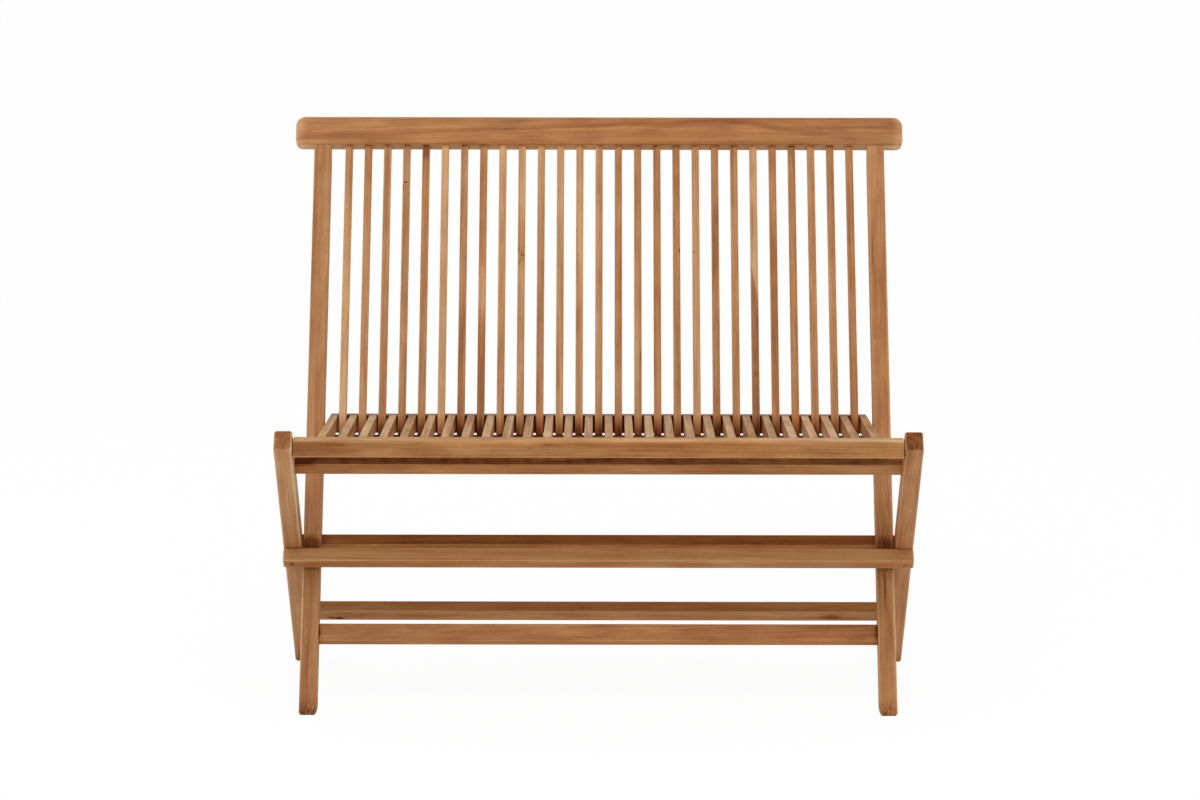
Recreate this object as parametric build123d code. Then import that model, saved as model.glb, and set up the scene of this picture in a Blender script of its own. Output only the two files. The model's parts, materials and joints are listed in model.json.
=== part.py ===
from build123d import *
import math
import os

# A folding slatted bench in three hinged frames: a leaning back frame whose stiles run down to the
# front feet, a leg frame that crosses it and carries the seat's front edge, and the seat itself,
# whose slats run between the back slats to a rail behind them.
# Lengths are in millimetres and angles in degrees. +X is the sitter's left to right as seen from
# the front, +Y runs from the front to the back and +Z is up.

# Stance
legs_width = 961.0             # across the outer faces of the rear legs
pivot_height = 221.5           # floor to the axis where the two frames cross
recline = 31.6                 # lean of the back frame from upright, toward the back
rake = 45.1                    # lean of the rear legs from upright, toward the front
seat_tilt = 4.35               # fall of the seat toward the back

# Back frame
stile_wide = 26.7
stile_deep = 34.0
stile_reach = 676.2            # pivot axis to the underside of the top rail
stile_ease = 3.0
stile_trim_high = 26.0         # of the bevel behind the stile, where it meets the thinner top rail
top_rail_high = 49.0
top_rail_deep = 25.0
top_rail_overhang = 29.9       # past the outer face of each stile
top_rail_proud = 3.0           # in front of the stiles
top_rail_ease = 5.0
top_rail_upper_corner = 15.0
top_rail_lower_corner = 11.0
lower_rail_high = 26.0
lower_rail_deep = 22.0
lower_rail_setback = 1.0       # behind the stiles' front faces
front_stretcher_high = 28.0
front_stretcher_deep = 20.0
front_stretcher_setback = 6.0
front_stretcher_up = 123.8     # from the floor, along the stile
back_slat_wide = 11.5
back_slat_deep = 18.0

# Leg frame
leg_wide = 27.2
leg_deep = 36.0
leg_ease = 4.0
leg_end = 14.5                 # of leg past the seat pin
seat_pin_reach = 283.4         # pivot axis to the seat pin, along the leg
cross_bar_high = 21.0
front_bar_deep = 24.0
rear_bar_deep = 20.5
cross_bar_ease = 3.0
under_rail_high = 26.8
under_rail_deep = 18.0
under_rail_drop = 63.4         # seat pin to the middle of the under-seat rail
rear_stretcher_high = 27.0
rear_stretcher_deep = 20.0
rear_stretcher_up = 126.5      # from the floor, along the leg

# Seat
seat_pair_count = 14           # seat slats on each side of the middle
seat_slat_wide = 12.0
seat_slat_high = 25.0
seat_rail_high = 28.6
seat_rail_rise = 12.0          # seat pin to the top of the seat
front_rail_deep = 26.0
front_rail_ease = 4.0
front_rail_nose = 9.0          # rounding of the upper front edge, under the sitter's knees
front_rail_end_ease = 2.0
rear_rail_deep = 22.0
slat_side_play = 7.35          # end seat slat to stile
seat_slide_room = 13.5         # rear rail to the backs of the back slats

# Joinery
rail_ease = 2.5
slat_ease = 2.0
rail_tenon_long = 15.0
rail_tenon_thick = 10.0
rail_tenon_high = 14.0
stile_tenon_long = 30.0
stile_tenon_thick = 12.0
stile_tenon_wide = 17.0
slat_tenon_long = 12.0
slat_tenon_thick = 7.0
slat_tenon_wide = 10.0
mortise_gap = 1.0              # left beyond the end of each tenon
foot_chamfer = 3.0
plug_radius = 3.5
plug_long = 34.0
plug_proud = 0.3

# Metal fittings
frame_gap = 1.5                # between each stile and its leg
seat_gap = 1.2                 # between each end of the seat's front rail and its leg
turning_gap = 0.3              # left at each face that turns past another
bolt_radius = 4.0
bolt_bore_gap = 0.05
bolt_head_radius = 8.0
bolt_head_high = 3.8
bolt_key = 5.0                 # across the flats of the key socket
bolt_key_deep = 2.2
head_room = 1.0                # round each sunken head
head_sink = 5.0                # depth of the pocket for each head
pivot_washer_radius = 13.0
seat_washer_radius = 9.0
nut_flange_radius = 8.0
nut_flange_high = 3.0
nut_sleeve_radius = 6.0
nut_sleeve_long = 10.0
nut_wall = 1.5                 # closing the blind end of the nut's sleeve
pin_bite = 30.0                # of seat pin inside the seat's front rail

# Stations across the bench
leg_outer = legs_width / 2
leg_inner = leg_outer - leg_wide
stile_outer = leg_inner - frame_gap
stile_inner = stile_outer - stile_wide
front_rail_end = leg_inner - seat_gap
end_slat_centre = stile_inner - slat_side_play - seat_slat_wide / 2
slat_pitch = end_slat_centre / (seat_pair_count - 0.5)
rear_rail_end = end_slat_centre + seat_slat_wide / 2

# Local frames: X across, Z along the member and Y square to it, toward the back
pivot = Vector(0, 0, pivot_height)
lean = math.radians(recline)
slope = math.radians(rake)
fall = math.radians(seat_tilt)
back_axis = Vector(0, math.sin(lean), math.cos(lean))
leg_axis = Vector(0, -math.sin(slope), math.cos(slope))
seat_normal = Vector(0, math.sin(fall), math.cos(fall))
seat_pin = pivot + leg_axis * seat_pin_reach
back = Plane(origin=pivot, x_dir=(1, 0, 0), z_dir=back_axis)
leg = Plane(origin=pivot, x_dir=(1, 0, 0), z_dir=leg_axis)
seat = Plane(origin=seat_pin, x_dir=(1, 0, 0), z_dir=seat_normal)

# Faces and levels in the back frame
stile_front = -stile_deep / 2
stile_back = stile_deep / 2
slat_back = stile_front + back_slat_deep
slat_middle = (stile_front + slat_back) / 2
stile_foot = pivot_height / math.cos(lean) + stile_deep * math.tan(lean)
top_rail_front = stile_front - top_rail_proud
stile_trim_deep = stile_back - top_rail_front - top_rail_deep
front_stretcher_level = front_stretcher_up - pivot_height / math.cos(lean)

# Faces and levels in the leg frame
leg_front = -leg_deep / 2
leg_back = leg_deep / 2
leg_top = seat_pin_reach + leg_end
leg_foot = pivot_height / math.cos(slope) + leg_deep * math.tan(slope)
crossing = lean + slope
cross_bar_start = (stile_deep - leg_deep * math.cos(crossing)) / (2 * math.sin(crossing)) + turning_gap
under_rail_level = seat_pin_reach - under_rail_drop
rear_stretcher_level = rear_stretcher_up - pivot_height / math.cos(slope)

# Faces and levels in the seat
seat_top = seat_rail_rise
seat_bottom = seat_rail_rise - seat_rail_high
slat_bottom = seat_rail_rise - seat_slat_high
front_rail_back = front_rail_deep / 2


def back_level(along, above):
    """Where a seat point, given along and above the seat, lies in the back frame: (behind, up)."""
    point = back.to_local_coords(seat.from_local_coords(Vector(0, along, above)))
    return point.Y, point.Z


# The rear rail's upper front corner stands clear of the back slats by the room the seat slides in
behind_at_pin = back_level(0, seat_top)[0]
behind_per_along = back_level(1, seat_top)[0] - behind_at_pin
rear_rail_front = (slat_back + seat_slide_room - behind_at_pin) / behind_per_along
rear_rail_back = rear_rail_front + rear_rail_deep

# The lower back rail's front edge lies just under the seat slats, which rest on it
lower_rail_front = stile_front + lower_rail_setback
behind_low = back_level(0, slat_bottom)[0]
along_to_rest = (lower_rail_front - behind_low) / behind_per_along
lower_rail_top = back_level(along_to_rest, slat_bottom)[1] - turning_gap


def bar(across, through, along):
    """A straight bar between two limits on each local axis."""
    limits = (across, through, along)
    middle = [(low + high) / 2 for low, high in limits]
    size = [high - low for low, high in limits]
    return Pos(*middle) * Box(*size)


def eased(piece, axis, radius):
    """The piece with the edges along one axis rounded."""
    return fillet(piece.edges().filter_by(axis), radius)


def rod(radius, start, end):
    """A round rod along X between two stations."""
    return Pos((start + end) / 2, 0, 0) * Rot(0, 90, 0) * Cylinder(radius, end - start)


def pair(piece):
    """A right-hand piece and its mirror image, as separate solids."""
    return Compound([piece.solid(), mirror(piece, about=Plane.YZ).solid()])


def cut_at_floor(piece, across, reach):
    """The piece cut level with the floor, its side edges chamfered there."""
    standing = piece - Pos(0, 0, -reach / 2) * Box(4 * reach, 4 * reach, reach)
    for side, inward in zip(across, (foot_chamfer, -foot_chamfer)):
        corner = Polyline((side, 0), (side + inward, 0), (side, foot_chamfer), close=True)
        standing -= extrude(Plane.XZ * make_face(corner), reach, both=True)
    return standing


def end_tenon(end, through, along):
    """A tenon past the right-hand end of a cross rail, centred on its section."""
    return bar(
        (end, end + rail_tenon_long),
        (through - rail_tenon_thick / 2, through + rail_tenon_thick / 2),
        (along - rail_tenon_high / 2, along + rail_tenon_high / 2),
    )


def end_mortise(end, through, along):
    """The pocket for an end tenon, a little deeper than the tenon is long."""
    return bar(
        (end, end + rail_tenon_long + mortise_gap),
        (through - rail_tenon_thick / 2, through + rail_tenon_thick / 2),
        (along - rail_tenon_high / 2, along + rail_tenon_high / 2),
    )


def cross_rail(end, through, along):
    """A rail between two uprights, with a tenon at each end."""
    body = eased(bar((-end, end), through, along), Axis.X, rail_ease)
    tenon = end_tenon(end, sum(through) / 2, sum(along) / 2)
    return body + tenon + mirror(tenon, about=Plane.YZ)


# Limits of each cross rail in its frame, as (front, back) and (bottom, top)
lower_rail_through = (lower_rail_front, lower_rail_front + lower_rail_deep)
lower_rail_along = (lower_rail_top - lower_rail_high, lower_rail_top)
front_stretcher_through = (
    stile_front + front_stretcher_setback,
    stile_front + front_stretcher_setback + front_stretcher_deep,
)
front_stretcher_along = (
    front_stretcher_level - front_stretcher_high / 2,
    front_stretcher_level + front_stretcher_high / 2,
)
under_rail_through = (leg_back - under_rail_deep, leg_back)
under_rail_along = (under_rail_level - under_rail_high / 2, under_rail_level + under_rail_high / 2)
rear_stretcher_through = (leg_back - rear_stretcher_deep, leg_back)
rear_stretcher_along = (
    rear_stretcher_level - rear_stretcher_high / 2,
    rear_stretcher_level + rear_stretcher_high / 2,
)
front_bar_through = (leg_front - front_bar_deep, leg_front)
front_bar_along = (cross_bar_start, cross_bar_start + cross_bar_high)
rear_bar_through = (leg_back, leg_back + rear_bar_deep)
rear_bar_along = (-cross_bar_start - cross_bar_high, -cross_bar_start)
plug_station = (leg_inner + leg_outer) / 2


def stile_tenon(extra):
    """The tenon at the head of the right-hand stile, or its pocket when extra is the gap above it."""
    centre = (stile_inner + stile_outer) / 2
    middle = top_rail_front + top_rail_deep / 2
    return bar(
        (centre - stile_tenon_wide / 2, centre + stile_tenon_wide / 2),
        (middle - stile_tenon_thick / 2, middle + stile_tenon_thick / 2),
        (stile_reach, stile_reach + stile_tenon_long + extra),
    )


def back_stile():
    """The right-hand stile, from its foot to the tenon under the top rail."""
    across = (stile_inner, stile_outer)
    body = bar(across, (stile_front, stile_back), (-stile_foot, stile_reach))
    trim_corner = (stile_back, stile_reach)
    trim = Plane.YZ.offset(stile_inner) * make_face(
        Polyline(
            trim_corner,
            (trim_corner[0] - stile_trim_deep, trim_corner[1]),
            (trim_corner[0], trim_corner[1] - stile_trim_high),
            close=True,
        )
    )
    body = eased(body, Axis.Z, stile_ease) - extrude(trim, stile_wide)
    body += stile_tenon(0)
    body -= end_mortise(stile_inner, sum(lower_rail_through) / 2, sum(lower_rail_along) / 2)
    body -= end_mortise(stile_inner, sum(front_stretcher_through) / 2, sum(front_stretcher_along) / 2)
    body -= rod(bolt_radius + bolt_bore_gap, stile_inner, stile_outer)
    body -= rod(nut_sleeve_radius, stile_inner, stile_inner + nut_flange_high + nut_sleeve_long)
    body -= rod(nut_flange_radius, stile_inner, stile_inner + nut_flange_high)
    return cut_at_floor(back * body, across, stile_foot)


def slat_stations():
    """Where the back slats on the right stand, from the middle outward."""
    return [slat_pitch * index for index in range(1, seat_pair_count)]


def back_slat_end(station, start, length):
    """A slat's tenon, or the pocket for it, from a level up the back frame."""
    return bar(
        (station - slat_tenon_thick / 2, station + slat_tenon_thick / 2),
        (slat_middle - slat_tenon_wide / 2, slat_middle + slat_tenon_wide / 2),
        (start, start + length),
    )


def back_slat(station):
    """One upright slat between the lower rail and the top rail."""
    across = (station - back_slat_wide / 2, station + back_slat_wide / 2)
    body = eased(bar(across, (stile_front, slat_back), (lower_rail_top, stile_reach)), Axis.Z, slat_ease)
    body += back_slat_end(station, lower_rail_top - slat_tenon_long, slat_tenon_long)
    body += back_slat_end(station, stile_reach, slat_tenon_long)
    return back * body


def back_slat_pockets(start):
    """The row of pockets for the back slats' tenons, from a level up the back frame."""
    right = slat_stations()
    stations = [-station for station in right] + [0] + right
    depth = slat_tenon_long + mortise_gap
    return [back_slat_end(station, start, depth) for station in stations]


def top_rail():
    """The crest rail, with rounded ends and eased edges, pocketed for the slats and stiles."""
    half = stile_outer + top_rail_overhang
    outline = Pos(0, stile_reach + top_rail_high / 2) * Rectangle(2 * half, top_rail_high)
    outline = fillet(outline.vertices().group_by(Axis.Y)[-1], top_rail_upper_corner)
    outline = fillet(outline.vertices().group_by(Axis.Y)[0], top_rail_lower_corner)
    face = Plane.XZ.offset(-top_rail_front) * outline
    body = extrude(face, -top_rail_deep)
    rims = body.faces().filter_by(Axis.Y).edges()
    body = fillet(rims, top_rail_ease)
    tenon_pocket = stile_tenon(mortise_gap)
    body -= [tenon_pocket, mirror(tenon_pocket, about=Plane.YZ)]
    body -= back_slat_pockets(stile_reach)
    return back * body


def lower_back_rail():
    """The rail under the back slats, which the seat slats rest on."""
    body = cross_rail(stile_inner, lower_rail_through, lower_rail_along)
    body -= back_slat_pockets(lower_rail_top - slat_tenon_long - mortise_gap)
    return back * body


def front_stretcher():
    """The rail between the front feet."""
    return back * cross_rail(stile_inner, front_stretcher_through, front_stretcher_along)


def bar_plug(through, along, outward):
    """A round plug through the right-hand end of a cross bar, into the leg behind it."""
    face = through[0] if outward < 0 else through[1]
    start = face + outward * plug_proud
    finish = start - outward * plug_long
    shaft = Rot(90, 0, 0) * Cylinder(plug_radius, plug_long)
    return Pos(plug_station, (start + finish) / 2, sum(along) / 2) * shaft


def cross_bar(through, along, outward):
    """A bar across both legs beside the crossing, its ends flush with the legs' outer faces."""
    body = bar((-leg_outer, leg_outer), through, along)
    body = fillet(body.edges(), cross_bar_ease)
    plug = bar_plug(through, along, outward)
    return leg * (body - [plug, mirror(plug, about=Plane.YZ)])


def sunken_head(level):
    """The pocket in a leg's outer face for a round head, and the bore behind it."""
    pocket = rod(bolt_head_radius + head_room, leg_outer - head_sink, leg_outer)
    bore = rod(bolt_radius + bolt_bore_gap, leg_inner, leg_outer)
    return Pos(0, 0, level) * (pocket + bore)


def rear_leg():
    """The right-hand leg, from its foot to its rounded end beside the seat."""
    across = (leg_inner, leg_outer)
    body = bar(across, (leg_front, leg_back), (-leg_foot, leg_top))
    top_rim = body.faces().sort_by(Axis.Z)[-1].edges()
    body = fillet(body.edges().filter_by(Axis.Z) + top_rim, leg_ease)
    body -= sunken_head(0)
    body -= sunken_head(seat_pin_reach)
    body -= end_mortise(leg_inner, sum(under_rail_through) / 2, sum(under_rail_along) / 2)
    body -= end_mortise(leg_inner, sum(rear_stretcher_through) / 2, sum(rear_stretcher_along) / 2)
    body -= bar_plug(front_bar_through, front_bar_along, -1)
    body -= bar_plug(rear_bar_through, rear_bar_along, 1)
    return cut_at_floor(leg * body, across, leg_foot)


def seat_slat_end(station, start, length):
    """A seat slat's tenon, or the pocket for it, from a place along the seat."""
    middle = (seat_top + slat_bottom) / 2
    return bar(
        (station - slat_tenon_thick / 2, station + slat_tenon_thick / 2),
        (start, start + length),
        (middle - slat_tenon_wide / 2, middle + slat_tenon_wide / 2),
    )


def seat_stations():
    """Where the seat slats on the right lie, from the middle outward."""
    return [slat_pitch * (index + 0.5) for index in range(seat_pair_count)]


def seat_slat(station):
    """One seat slat between the front rail and the rear rail."""
    across = (station - seat_slat_wide / 2, station + seat_slat_wide / 2)
    body = bar(across, (front_rail_back, rear_rail_front), (slat_bottom, seat_top))
    body = eased(body, Axis.Y, slat_ease)
    body += seat_slat_end(station, front_rail_back - slat_tenon_long, slat_tenon_long)
    body += seat_slat_end(station, rear_rail_front, slat_tenon_long)
    return seat * body


def seat_slat_pockets(start):
    """The row of pockets for the seat slats' tenons, from a place along the seat."""
    right = seat_stations()
    stations = [-station for station in right] + right
    depth = slat_tenon_long + mortise_gap
    return [seat_slat_end(station, start, depth) for station in stations]


def upper_front(corner):
    """How far a corner of the front rail's section lies toward its upper front."""
    return corner.Y - corner.X


def seat_front_rail():
    """The rail along the seat's front edge, hung on a pin at each end."""
    outline = Pos(0, (seat_bottom + seat_top) / 2) * Rectangle(front_rail_deep, seat_rail_high)
    corners = outline.vertices().sort_by(upper_front)
    outline = fillet(corners[:-1], front_rail_ease)
    outline = fillet(outline.vertices().sort_by(upper_front)[-1], front_rail_nose)
    body = extrude(Plane.YZ * outline, front_rail_end, both=True)
    body = fillet(body.faces().filter_by(Axis.X).edges(), front_rail_end_ease)
    body -= seat_slat_pockets(front_rail_back - slat_tenon_long - mortise_gap)
    pin_hole = rod(bolt_radius, front_rail_end - pin_bite - mortise_gap, front_rail_end)
    body -= [pin_hole, mirror(pin_hole, about=Plane.YZ)]
    return seat * body


def seat_rear_rail():
    """The rail behind the back slats, which keeps the seat in the back frame."""
    body = bar((-rear_rail_end, rear_rail_end), (rear_rail_front, rear_rail_back), (seat_bottom, seat_top))
    body = fillet(body.edges(), rail_ease)
    body -= seat_slat_pockets(rear_rail_front)
    return seat * body


def headed_rod(tip):
    """A round rod from a station to a sunken domed head, with a key socket in the head."""
    head_start = leg_outer - head_sink + turning_gap
    head = rod(bolt_head_radius, head_start, head_start + bolt_head_high)
    rim = head.edges().sort_by(Axis.X)[-1]
    head = fillet(rim, bolt_head_high / 2)
    socket_face = Plane.YZ.offset(head_start + bolt_head_high) * RegularPolygon(
        bolt_key / 2, 6, major_radius=False
    )
    return rod(bolt_radius, tip, head_start) + head - extrude(socket_face, -bolt_key_deep)


def washer(outer_radius, start, end):
    """A flat washer along X, bored to slip over its rod."""
    return rod(outer_radius, start, end) - rod(bolt_radius + bolt_bore_gap, start, end)


bolt_tip = stile_inner + nut_wall


def pivot_bolt():
    """The right-hand bolt that the two frames turn on."""
    return back * headed_rod(bolt_tip)


def pivot_nut():
    """The sleeve nut sunk in the stile's inner face."""
    body = rod(nut_flange_radius, stile_inner, stile_inner + nut_flange_high)
    body += rod(nut_sleeve_radius, stile_inner, stile_inner + nut_flange_high + nut_sleeve_long)
    body -= rod(bolt_radius, bolt_tip, stile_outer)
    return back * body


def seat_pivot_pin():
    """The right-hand pin that carries the seat's front rail."""
    return seat * headed_rod(front_rail_end - pin_bite)


# Every node, by name
nodes = {}
stile = back_stile()
nodes["back_stile_right"] = stile
nodes["back_stile_left"] = mirror(stile, about=Plane.YZ)
nodes["top_rail"] = top_rail()
nodes["lower_back_rail"] = lower_back_rail()
nodes["front_stretcher"] = front_stretcher()
nodes["back_slat_centre"] = back_slat(0)
for number, station in enumerate(slat_stations(), start=1):
    nodes[f"back_slats_{number:02d}"] = pair(back_slat(station))

upright = rear_leg()
nodes["rear_leg_right"] = upright
nodes["rear_leg_left"] = mirror(upright, about=Plane.YZ)
nodes["front_cross_bar"] = cross_bar(front_bar_through, front_bar_along, -1)
nodes["rear_cross_bar"] = cross_bar(rear_bar_through, rear_bar_along, 1)
nodes["under_seat_rail"] = leg * cross_rail(leg_inner, under_rail_through, under_rail_along)
nodes["rear_stretcher"] = leg * cross_rail(leg_inner, rear_stretcher_through, rear_stretcher_along)

nodes["seat_front_rail"] = seat_front_rail()
nodes["seat_rear_rail"] = seat_rear_rail()
for number, station in enumerate(seat_stations(), start=1):
    nodes[f"seat_slats_{number:02d}"] = pair(seat_slat(station))

nodes["pivot_bolts"] = pair(pivot_bolt())
nodes["pivot_washers"] = pair(back * washer(pivot_washer_radius, stile_outer, leg_inner - turning_gap))
nodes["pivot_nuts"] = pair(pivot_nut())
nodes["seat_pins"] = pair(seat_pivot_pin())
nodes["seat_washers"] = pair(seat * washer(seat_washer_radius, front_rail_end, leg_inner - turning_gap))
nodes["front_bar_plugs"] = pair(leg * bar_plug(front_bar_through, front_bar_along, -1))
nodes["rear_bar_plugs"] = pair(leg * bar_plug(rear_bar_through, rear_bar_along, 1))

# The origin lies on the floor, under the middle of the whole bench
whole = Compound([solid for node in nodes.values() for solid in node.solids()]).bounding_box()
to_origin = Pos(0, -(whole.min.Y + whole.max.Y) / 2, 0)

os.makedirs("parts", exist_ok=True)
for name, node in nodes.items():
    export_step(to_origin * node, os.path.join("parts", f"{name}.step"))

pivot_point = to_origin.position + pivot
pin_point = to_origin.position + seat_pin
print("nodes", len(nodes))
print("size", [round(value, 3) for value in whole.size])
print("main pivot", [round(value, 3) for value in pivot_point])
print("seat pivot", [round(value, 3) for value in pin_point])
print("cross bars start", round(cross_bar_start, 3), "rear rail front", round(rear_rail_front, 3))
print("lower rail top", round(lower_rail_top, 3), "slat pitch", round(slat_pitch, 3))
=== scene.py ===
# %% [markdown]
# # A folding teak bench
# The bench comes from the drawing board as finished solids: a leaning back frame, a leg frame that
# crosses it, and a seat whose slats run between the back slats. They already have their true shapes,
# joints and eased edges, so nothing is remodelled here. What is left is what makes it a bench rather
# than a drawing: the wood. The script gives every stick its own board of oiled teak, lights the bench
# plainly and stands the camera where the picture was taken from.

# %% Load the bench
import bmesh
import bpy
import json
import math
from mathutils import Matrix, Vector

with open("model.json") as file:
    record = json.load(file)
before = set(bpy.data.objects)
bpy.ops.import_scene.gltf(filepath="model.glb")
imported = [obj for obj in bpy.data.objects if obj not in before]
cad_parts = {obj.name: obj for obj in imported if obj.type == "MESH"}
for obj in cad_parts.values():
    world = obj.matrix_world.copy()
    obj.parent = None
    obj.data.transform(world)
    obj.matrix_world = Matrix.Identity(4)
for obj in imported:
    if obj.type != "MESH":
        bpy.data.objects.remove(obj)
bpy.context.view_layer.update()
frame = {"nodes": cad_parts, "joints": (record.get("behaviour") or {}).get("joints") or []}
nodes = frame["nodes"]
hinges = {joint["name"]: Vector(joint["pos_m"]) for joint in frame["joints"]}
pivot = hinges["frame_fold"]
seat_pin = hinges["seat_fold"]

# %% [markdown]
# ## The camera
# A long lens flattens a bench: the back slats hardly fan out, which is how catalogue pictures look.
# A camera set by eye would leave every slat a little off. So the place, the tilt and the lens come from
# fitting the stiles, legs and feet to the picture, measured from the bolts where the frames cross. The
# picture is a hair off level, so the camera is rolled by as much.

# %% Stand the camera in front
picture_wide = 1200
focal_pixels = 4400
sensor_wide = 36.0
sight_reach = 100
camera_place = pivot + Vector((0.002, -6.6061, 1.3985))
camera_tilt = math.radians(9.997)
camera_roll = math.radians(0.10)

camera = bpy.data.objects.new("camera", bpy.data.cameras.new("camera"))
bpy.context.scene.collection.objects.link(camera)
camera.data.sensor_fit = "HORIZONTAL"
camera.data.sensor_width = sensor_wide
camera.data.lens = focal_pixels / picture_wide * sensor_wide
camera.data.clip_end = sight_reach
tilted = Matrix.Rotation(math.pi / 2 - camera_tilt, 4, "X")
rolled = Matrix.Rotation(camera_roll, 4, "Z")
camera.matrix_world = Matrix.Translation(camera_place) @ tilted @ rolled
bpy.context.scene.camera = camera
print("lens", round(camera.data.lens, 1), "mm")

# %% [markdown]
# ## Writing materials as steps
# A material is a small factory line: each node takes sockets in and hands a socket on. Such a line can
# be drawn by hand in the shader editor, but a bench needs many that are nearly alike, so they are written
# as code. One helper makes any node and fills its inputs, by linking a socket or setting a number.

# %% Helpers for nodes
def fill(tree, socket, value):
    """Links a socket into this one, or sets its number."""
    if isinstance(value, bpy.types.NodeSocket):
        tree.links.new(value, socket)
    else:
        socket.default_value = value


def step(tree, kind, inputs, **settings):
    """Makes one node with its settings and inputs."""
    node = tree.nodes.new("ShaderNode" + kind)
    for name, value in settings.items():
        setattr(node, name, value)
    for name, value in inputs.items():
        fill(tree, node.inputs[name], value)
    return node


def axes_of(tree, vector):
    """A vector's X, Y and Z."""
    return step(tree, "SeparateXYZ", {"Vector": vector}).outputs


print("node helpers ready")

# %% [markdown]
# Most of a recipe is arithmetic: how far, how often, how dark. These helpers do one sum each on numbers
# or on places, so that a recipe reads like a list of sums.

# %% Helpers for sums
def calc(tree, operation, first, second=0.0):
    """One sum on numbers."""
    node = tree.nodes.new("ShaderNodeMath")
    node.operation = operation
    fill(tree, node.inputs[0], first)
    fill(tree, node.inputs[1], second)
    return node.outputs[0]


def times(tree, value, amount):
    """A number made larger or smaller."""
    return calc(tree, "MULTIPLY", value, amount)


def total(tree, *values):
    """Several numbers added up."""
    result = values[0]
    for value in values[1:]:
        result = calc(tree, "ADD", result, value)
    return result


def vector_calc(tree, operation, first, second=(0.0, 0.0, 0.0)):
    """One sum on places."""
    node = tree.nodes.new("ShaderNodeVectorMath")
    node.operation = operation
    fill(tree, node.inputs[0], first)
    fill(tree, node.inputs[1], second)
    return node.outputs[0]


def length_of(tree, vector):
    """How long a vector is."""
    return step(tree, "VectorMath", {"Vector": vector}, operation="LENGTH").outputs["Value"]


def stretch(tree, value, low, high, to_low=0.0, to_high=1.0, ease="LINEAR"):
    """Carries the range low to high onto another range, and stops at its ends."""
    ends = {"Value": value, "From Min": low, "From Max": high, "To Min": to_low, "To Max": to_high}
    return step(tree, "MapRange", ends, interpolation_type=ease).outputs[0]


def mix(tree, share, first, second):
    """Two numbers mixed by a share."""
    return step(tree, "Mix", {"Factor": share, "A": first, "B": second}).outputs["Result"]


print("sums ready")

# %% Helpers for colours
def srgb(red, green, blue):
    """A colour as a paint chart gives it, 0 to 255, in Blender's linear numbers."""
    shares = [value / 255 for value in (red, green, blue)]
    return tuple(s / 12.92 if s <= 0.04045 else ((s + 0.055) / 1.055) ** 2.4 for s in shares)


def greys(stops):
    """Stops for a ramp that hands on plain numbers."""
    return [(position, (number,) * 3) for position, number in stops]


def ramp(tree, value, stops, interpolation="LINEAR"):
    """A colour ramp through (position, colour) stops."""
    node = step(tree, "ValToRGB", {"Fac": value})
    node.color_ramp.interpolation = interpolation
    elements = node.color_ramp.elements
    for position, colour in stops[2:]:
        elements.new(position)
    for element, (position, colour) in zip(elements, stops):
        element.position = position
        element.color = (*colour, 1)
    return node.outputs["Color"]


def blend_colours(tree, share, first, second):
    """Two colours mixed by a share. The node's colour sockets share their names, so they go by number."""
    node = step(tree, "Mix", {"Factor": share}, data_type="RGBA")
    fill(tree, node.inputs[6], first)
    fill(tree, node.inputs[7], second)
    return node.outputs[2]


print("middle grey is", round(srgb(128, 128, 128)[0], 3), "in linear numbers")

# %% [markdown]
# ## The colours of teak
# Teak from one yard is never of one hue, so three families of colour are kept apart: the tan of most
# boards, a red that leans to brick, and a pale straw, which some boards lean to and which the seat's tops
# take as a painted sheen. Each board lies somewhere between two of them. One colour made lighter and
# darker would be quicker, but real wood also turns redder as it darkens, so each family is a ramp of five
# colours from pale to dark.

# %% Mix the colours
tan_teak = [
    (0.0, srgb(214, 173, 126)),
    (0.30, srgb(191, 142, 95)),
    (0.55, srgb(165, 114, 68)),
    (0.80, srgb(128, 79, 40)),
    (1.0, srgb(82, 43, 16)),
]
red_teak = [
    (0.0, srgb(206, 152, 98)),
    (0.30, srgb(184, 122, 67)),
    (0.55, srgb(162, 97, 47)),
    (0.80, srgb(127, 66, 24)),
    (1.0, srgb(80, 34, 8)),
]
straw_teak = [
    (0.0, srgb(221, 194, 153)),
    (0.30, srgb(200, 167, 131)),
    (0.55, srgb(176, 140, 100)),
    (0.80, srgb(142, 109, 76)),
    (1.0, srgb(104, 82, 66)),
]
print("three families of", len(tan_teak), "colours")

# %% [markdown]
# ## Rings
# Teak grows in rings round the pith, and a saw cuts through them. Grain is often painted as stretched
# noise on each face, but then it stops at every edge. So the recipe puts each stick somewhere in a log
# and asks how far from the pith every point lies. Rings then show as straight lines on one face, long
# arches on another and arcs at the ends, all joined up round the edges.

# %% Helpers for rings
halfway = (0.5, 0.5, 0.5)
board_spread = (0.17, 0.17, 8.0)
board_skew = (0.05, 0.05, 0.0)
skew_lot = 41.0
sway_waves = (6.0, 6.0, 1.3)
pith_sway = (0.045, 0.045, 0.0)
across_only = (1.0, 1.0, 0.0)
rings_per_metre = 190.0
uneven_per_metre = 60.0
uneven_years = 3.0
ring_stops = greys([(0.0, 0.85), (0.18, 0.60), (0.45, 0.22), (0.78, 0.14), (0.94, 0.45), (1.0, 0.85)])


def chance(tree, number, reach):
    """A place picked by lot for a number, within a reach about zero."""
    lot = step(tree, "TexWhiteNoise", {"W": number}, noise_dimensions="1D").outputs["Color"]
    return vector_calc(tree, "MULTIPLY", vector_calc(tree, "SUBTRACT", lot, halfway), reach)


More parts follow.
